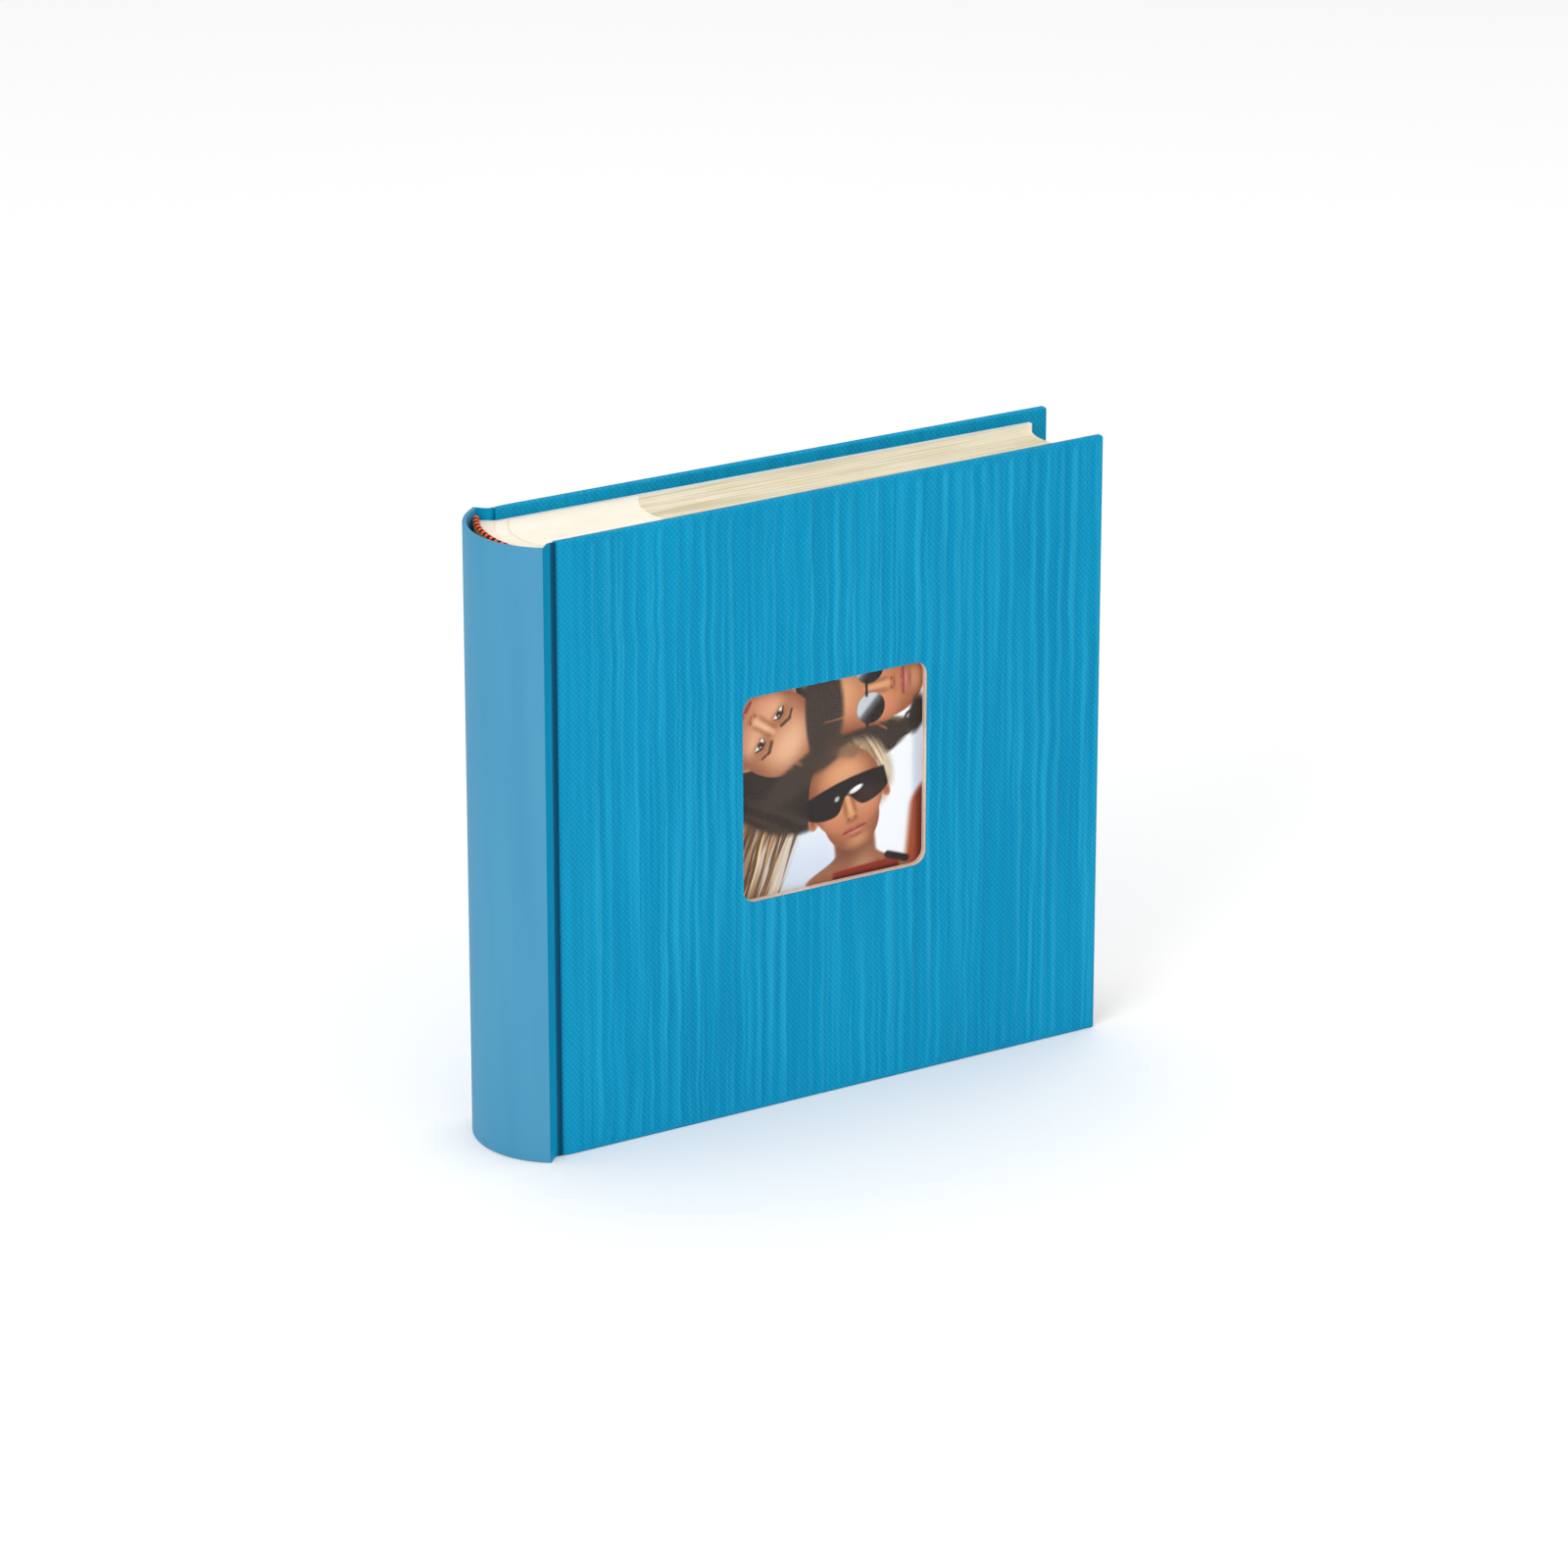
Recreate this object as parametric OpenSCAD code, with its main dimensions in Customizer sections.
// Case-bound memo photo album: a ribbed cover with a picture window, a rounded spine,
// and fifty leaves, each with a writing strip beside the spine and two clear pockets.
// The album stands on its tail edges. X runs from the spine to the fore-edge, the front
// cover faces -Y, and the origin is under the middle of the album.

/* [Cover] */
// Width over the spine and both covers, from the spine's crown to the fore-edge
album_w = 240; // [230:1:260]
// Height of the covers and of the spine
album_h = 225; // [220:1:235]
// Thickness over the spine's two shoulders
album_t = 50; // [50:0.5:52]
// Thickness of the greyboard in each cover
board_t = 2.6; // [2.2:0.1:2.8]
// Thickness of the ribbed covering sheet
wrap_t = 0.3; // [0.2:0.05:0.3]
// Width of the covering sheet folded over to the inside of a board
turn_in = 15; // [10:1:20]
// How far in from a shoulder a cover's outer face lies beside the groove
cover_step = 2.6; // [2.4:0.1:3]
// Width of the board's rounded edge beside the groove
press_w = 6; // [3:0.5:8]
// How much nearer the middle a cover's outer face is at the fore-edge
cover_splay = 2.45; // [2.2:0.05:2.5]

/* [Spine and groove] */
// Outer radius of the rounded spine
spine_r = 30.4; // [30:0.1:31.5]
// Thickness of the card inside the spine
spine_card_t = 1; // [0.8:0.1:1.2]
// Distance from the spine's crown to the spine-side edge of a board
board_setback = 19.5; // [19:0.1:20]
// Distance from the spine's crown to the floor of the groove
groove_setback = 17.3; // [17:0.1:17.6]
// How far in from a shoulder the floor of the groove lies
groove_depth = 4; // [3.8:0.1:4.2]

/* [Window] */
// Width of the opening in the front cover
window_w = 75; // [60:1:90]
// Height of the opening in the front cover
window_h = 76; // [60:1:90]
// Corner radius of the opening
window_r = 5; // [2:0.5:10]
// Distance of the window's middle from the album's middle, towards the fore-edge
window_x = 10; // [0:1:20]
// Height of the window's middle above the album's middle
window_rise = 4.5; // [-5:0.5:10]
// How far the film and the picture reach past the opening on every side
picture_lap = 9; // [5:1:14]
// Thickness of the film, and of the picture behind it
picture_t = 0.15; // [0.1:0.05:0.15]

/* [Book block] */
// Number of leaves between the two flyleaves
inner_leaves = 48; // [48:12:48]
// How far the covers stand past the leaves at the head and the tail
square = 4.2; // [3:0.1:6]
// Width of a leaf from its fold to the fore-edge
page_w = 218.8; // [217:0.1:219]
// Width of the writing strip beside the spine
memo_w = 60.5; // [58:0.5:62]
// Half the thickness of the block along its folds
fold_half = 23; // [22.8:0.1:23.2]
// Half the thickness of the block at the foot of the folds
guard_half = 18.3; // [18:0.1:18.4]
// Half the thickness of the block at the fore-edge
edge_half = 16; // [15.8:0.1:16.1]
// Radius of the rounded back of the block
block_r = 41.3; // [41:0.1:42]
// Distance from the spine's crown to the back of the block
block_setback = 7.2; // [7:0.1:7.4]
// Length of the bend in each leaf beside its fold
guard_run = 4.7; // [4.5:0.1:5]

/* [Leaves] */
// Thickness of a writing strip
memo_t = 0.6; // [0.4:0.05:0.6]
// Thickness of the card between the pockets
core_t = 0.24; // [0.2:0.01:0.26]
// Thickness of a pocket's clear film
film_t = 0.12; // [0.08:0.01:0.13]
// Width of the welded border around and between the pockets
weld = 1.6; // [1:0.1:3]
// Thickness of the endpapers
endpaper_t = 0.25; // [0.2:0.01:0.25]

/* [Headbands] */
// Diameter of the corded bead
bead_d = 2.5; // [2:0.1:2.8]
// Height of the tape that carries the bead
band_tape_h = 14; // [10:1:20]

/* [Hidden] */
$fn = 96;
eps = 0.01;
leaves_per_section = 4;
sections = inner_leaves / leaves_per_section;
total_leaves = inner_leaves + 2;

crown_x = -album_w / 2;
fore_x = album_w / 2;
shoulder_y = album_t / 2;
spine_cx = crown_x + spine_r;
spine_half_angle = asin(shoulder_y / spine_r);
shoulder_x = spine_cx - spine_r * cos(spine_half_angle);
card_half_angle = spine_half_angle - 3.3;

board_x = crown_x + board_setback;
cover_y = shoulder_y - cover_step;
splay = atan(cover_splay / (fore_x - board_x));
cover_w = (fore_x - board_x) / cos(splay);
cover_in = 2 * wrap_t + board_t;
joint_gap = 0.05;

groove_x = crown_x + groove_setback;
groove_y = shoulder_y - groove_depth;
groove_rise = 0.3;
edge_drop = groove_depth - cover_step - groove_rise;
press_steps = 8;

page_z = square;
page_h = album_h - 2 * square;
block_cx = crown_x + block_setback + block_r;
lining_inset = 2;
lining_half_angle = asin((fold_half - lining_inset) / block_r);
mull_t = 0.3;
lining_t = 0.35;
tape_t = 0.3;
glue_gap = 0.3;

window_z = album_h / 2 + window_rise;
window_u = (window_x - board_x) / cos(splay);

fold_gap = 0.15;
fold_t = 0.2;
spacer_t = 0.18;
spacer_w = 2;

// A section's node name with a two-digit number, such as memo_strips_01.
function part_name(word, k) = str(word, k < 10 ? "_0" : "_", k);

// Place of leaf i across the block, from -1 at the front to 1 at the back.
function place(i) = (2 * i + 1) / total_leaves - 1;

// X of the fold of the leaf at place u: the folds lie on the block's rounded back.
function fold_x(u) = block_cx - sqrt(pow(block_r, 2) - pow(fold_half * u, 2));

// Point on the leaf at place u, a distance s from its fold.
function leaf_point(u, s) = [
    fold_x(u) + s,
    u * (s < guard_run
        ? fold_half + (guard_half - fold_half) * s / guard_run
        : guard_half + (edge_half - guard_half) * (s - guard_run) / (page_w - guard_run))
];

// Outline of a sheet of thickness t that follows the points of a path.
function sheet(path, t) = concat(
    [for (p = path) [p.x, p.y - t / 2]],
    [for (n = [len(path) - 1:-1:0]) [path[n].x, path[n].y + t / 2]]
);

// Part of leaf i between distances s0 and s1 from the fold, moved off its middle plane.
module leaf_sheet(i, s0, s1, t, off = 0) {
    u = place(i);
    bends = s0 < guard_run ? [s0, guard_run, s1] : [s0, s1];
    path = [for (s = bends) leaf_point(u, s) + [0, off]];
    polygon(sheet(path, t));
}

// A band of a round shell about a vertical axis, between radii r0 and r1.
module arc_band(r0, r1, half, z0, z1) {
    translate([0, 0, z0])
        rotate([0, 0, 180 - half])
            rotate_extrude(angle = 2 * half)
                translate([r0, 0])
                    square([r1 - r0, z1 - z0]);
}

// Puts a cover piece in place: u runs to the fore-edge and v runs inwards.
module at_front_cover() {
    translate([board_x, -cover_y, 0])
        rotate([0, 0, splay])
            children();
}

// Puts a piece that was made for the front on the back.
module at_back() {
    mirror([0, 1, 0])
        children();
}

// The window's outline, grown by d, cut right through a cover's thickness.
module window_prism(v0, v1, d = 0) {
    translate([window_u, v1, window_z])
        rotate([90, 0, 0])
            linear_extrude(v1 - v0)
                rounded_rectangle(window_w + 2 * d, window_h + 2 * d, window_r);
}

module rounded_rectangle(w, h, r) {
    square([w - 2 * r, h], center = true);
    square([w, h - 2 * r], center = true);
    for (sx = [-1, 1], sy = [-1, 1])
        translate([sx * (w / 2 - r), sy * (h / 2 - r)])
            circle(r);
}

// Section of a cover from depth v0 to v1, with its edge beside the groove pressed round.
module cover_section(u0, u1, v0, v1) {
    pressed = [for (n = [0:press_steps])
        let (t = 90 * n / press_steps)
            [u0 + press_w * (1 - cos(t)), v0 + edge_drop * (1 - sin(t))]];
    polygon(concat(pressed, [[u1, v0], [u1, v1], [u0, v1]]));
}

// Greyboard of one cover, inside its covering sheet.
module board() {
    translate([0, 0, wrap_t])
        linear_extrude(album_h - 2 * wrap_t)
            cover_section(wrap_t, cover_w - wrap_t, wrap_t, wrap_t + board_t);
}

module front_board() {
    color("tan")
        at_front_cover()
            difference() {
                board();
                window_prism(0, cover_in);
            }
}

module back_board() {
    color("tan")
        at_back()
            at_front_cover()
                board();
}

// Covering sheet of one cover: the face, the four edges and the turned-in borders.
module cover_wrap() {
    difference() {
        linear_extrude(album_h)
            cover_section(0, cover_w, 0, cover_in);
        board();
        translate([-1, wrap_t + board_t - eps, turn_in])
            cube([cover_w + 1 - turn_in, 1, album_h - 2 * turn_in]);
        translate([-1, edge_drop + wrap_t, -1])
            cube([1 + wrap_t + eps, cover_in, album_h + 2]);
    }
}

module front_cover_wrap() {
    color("deepskyblue")
        at_front_cover()
            difference() {
                cover_wrap();
                window_prism(-1, cover_in);
            }
}

module back_cover_wrap() {
    color("deepskyblue")
        at_back()
            at_front_cover()
                cover_wrap();
}

// Curved card that stiffens the spine and stands clear of the block.
module spine_strip() {
    color("tan")
        translate([spine_cx, 0, 0])
            arc_band(spine_r - wrap_t - spine_card_t, spine_r - wrap_t,
                     card_half_angle, wrap_t, album_h - wrap_t);
}

// Covering sheet over the spine card, folded over it at the head and the tail.
module spine_wrap() {
    skin_in = spine_r - wrap_t;
    fold_in = skin_in - spine_card_t - wrap_t;
    color("cornflowerblue")
        translate([spine_cx, 0, 0]) {
            arc_band(skin_in, spine_r, spine_half_angle, 0, album_h);
            arc_band(fold_in, skin_in + eps, card_half_angle, 0, wrap_t);
            arc_band(fold_in, skin_in + eps, card_half_angle, album_h - wrap_t, album_h);
            arc_band(fold_in, fold_in + wrap_t, card_half_angle, 0, turn_in);
            arc_band(fold_in, fold_in + wrap_t, card_half_angle, album_h - turn_in, album_h);
        }
}

// Flexible strip of the covering sheet that forms the groove, doubled at head and tail.
module joint_wrap() {
    run = [
        [shoulder_x + wrap_t + joint_gap, -shoulder_y + wrap_t],
        [groove_x, -groove_y + wrap_t / 2],
        [board_x - joint_gap, -groove_y - groove_rise + wrap_t / 2]
    ];
    inner = [for (p = run) p + [0, wrap_t]];
    union() {
        linear_extrude(album_h)
            polygon(sheet(run, wrap_t));
        for (z = [0, album_h - turn_in])
            translate([0, 0, z])
                linear_extrude(turn_in)
                    polygon(sheet(inner, wrap_t + eps));
    }
}

module front_joint_wrap() {
    color("darkturquoise")
        joint_wrap();
}

module back_joint_wrap() {
    color("darkturquoise")
        at_back()
            joint_wrap();
}

// Clear sheet fixed behind the window.
module window_film() {
    color("white", 0.3)
        at_front_cover()
            window_prism(wrap_t + board_t, wrap_t + board_t + picture_t, picture_lap);
}

// Printed card behind the clear sheet.
module cover_picture() {
    color("gainsboro")
        at_front_cover()
            window_prism(wrap_t + board_t + picture_t, cover_in, picture_lap);
}

// Half of the endpaper that is pasted to the inside of a cover.
module pastedown() {
    translate([0, cover_in, page_z])
        cube([leaf_point(place(0), page_w).x - board_x, endpaper_t, page_h]);
}

module front_pastedown() {
    color("white")
        at_front_cover()
            pastedown();
}

module back_pastedown() {
    color("white")
        at_back()
            at_front_cover()
                pastedown();
}

// Narrow stretch of the endpaper that lines the groove from the pastedown to its fold.
module endpaper_fold() {
    lining_y = -groove_y + 2 * wrap_t + fold_gap;
    fold_end = leaf_point(place(0), 0);
    path = [
        [fold_end.x + joint_gap, fold_end.y - endpaper_t - 2 * joint_gap],
        [groove_x, lining_y],
        [board_x - joint_gap, -cover_y + cover_in + endpaper_t / 2]
    ];
    translate([0, 0, page_z])
        linear_extrude(page_h)
            polygon(sheet(path, fold_t));
}

module front_endpaper_fold() {
    color("white")
        endpaper_fold();
}

module back_endpaper_fold() {
    color("white")
        at_back()
            endpaper_fold();
}

// Stretch of a flyleaf beside the spine, as wide as the writing strips.
module flyleaf_hinge() {
    translate([0, 0, page_z])
        linear_extrude(page_h)
            leaf_sheet(0, 0, memo_w, endpaper_t);
}

module front_flyleaf_hinge() {
    color("white")
        flyleaf_hinge();
}

module back_flyleaf_hinge() {
    color("white")
        at_back()
            flyleaf_hinge();
}

// Rest of a flyleaf, out to the fore-edge.
module flyleaf() {
    translate([0, 0, page_z])
        linear_extrude(page_h)
            leaf_sheet(0, memo_w, page_w, endpaper_t);
}

module front_flyleaf() {
    color("white")
        flyleaf();
}

module back_flyleaf() {
    color("white")
        at_back()
            flyleaf();
}

// Corded bead on the end of the block, with the tape that is glued down the block's back.
module head_band() {
    tape_r = block_r + glue_gap + mull_t + lining_t;
    bead_z = page_z + page_h + bead_d / 2 + joint_gap;
    bead_r = tape_r + tape_t - bead_d / 2;
    color("orangered")
        translate([block_cx, 0, 0]) {
            arc_band(tape_r, tape_r + tape_t, lining_half_angle, bead_z - band_tape_h, bead_z);
            translate([0, 0, bead_z])
                rotate([0, 0, 180 - lining_half_angle])
                    rotate_extrude(angle = 2 * lining_half_angle)
                        translate([bead_r, 0])
                            circle(d = bead_d);
        }
}

module tail_band() {
    translate([0, 0, album_h / 2])
        mirror([0, 0, 1])
            translate([0, 0, -album_h / 2])
                head_band();
}

// Gauze glued over the folds.
module spine_mull() {
    color("linen")
        translate([block_cx, 0, 0])
            arc_band(block_r + glue_gap, block_r + glue_gap + mull_t,
                     lining_half_angle, page_z, page_z + page_h);
}

// Paper glued over the gauze.
module spine_lining() {
    color("peru")
        translate([block_cx, 0, 0])
            arc_band(block_r + glue_gap + mull_t, block_r + glue_gap + mull_t + lining_t,
                     lining_half_angle, page_z, page_z + page_h);
}

// Paper spacers between the folds of neighbouring leaves, which leave room for the photos.
module spine_guards() {
    color("ivory")
        for (i = [0:total_leaves - 2])
            translate([0, 0, page_z])
                linear_extrude(page_h)
                    polygon(sheet([leaf_point(place(i + 0.5), 0),
                                   leaf_point(place(i + 0.5), spacer_w)], spacer_t));
}

// First leaf of section k. Leaf 0 is the front flyleaf.
function first_leaf(k) = 1 + leaves_per_section * (k - 1);

// Writing strips of one section, from the folds to the pockets.
module memo_strips(k) {
    color("cornsilk")
        translate([0, 0, page_z])
            linear_extrude(page_h)
                for (i = [first_leaf(k):first_leaf(k) + leaves_per_section - 1])
                    leaf_sheet(i, 0, memo_w, memo_t);
}

// Cards of one section that stand between the front and back pockets of each leaf.
module pocket_backs(k) {
    color("antiquewhite")
        translate([0, 0, page_z])
            linear_extrude(page_h)
                for (i = [first_leaf(k):first_leaf(k) + leaves_per_section - 1])
                    leaf_sheet(i, memo_w, page_w, core_t);
}

// Clear fronts of one section's pockets: an upper and a lower one on each side of a leaf.
module pocket_films(k) {
    pocket_h = (page_h - 3 * weld) / 2;
    color("white", 0.3)
        for (pocket = [0, 1])
            translate([0, 0, page_z + weld + pocket * (pocket_h + weld)])
                linear_extrude(pocket_h)
                    for (i = [first_leaf(k):first_leaf(k) + leaves_per_section - 1],
                         side = [-1, 1])
                        leaf_sheet(i, memo_w + weld, page_w - weld, film_t,
                                   side * ((core_t + film_t) / 2 + eps));
}

front_board();
back_board();
spine_strip();
front_cover_wrap();
back_cover_wrap();
spine_wrap();
front_joint_wrap();
back_joint_wrap();
window_film();
cover_picture();
front_pastedown();
back_pastedown();
front_endpaper_fold();
back_endpaper_fold();
front_flyleaf_hinge();
back_flyleaf_hinge();
front_flyleaf();
back_flyleaf();
head_band();
tail_band();
spine_mull();
spine_lining();
spine_guards();
for (k = [1:sections]) {
    memo_strips(k);
    pocket_backs(k);
    pocket_films(k);
}
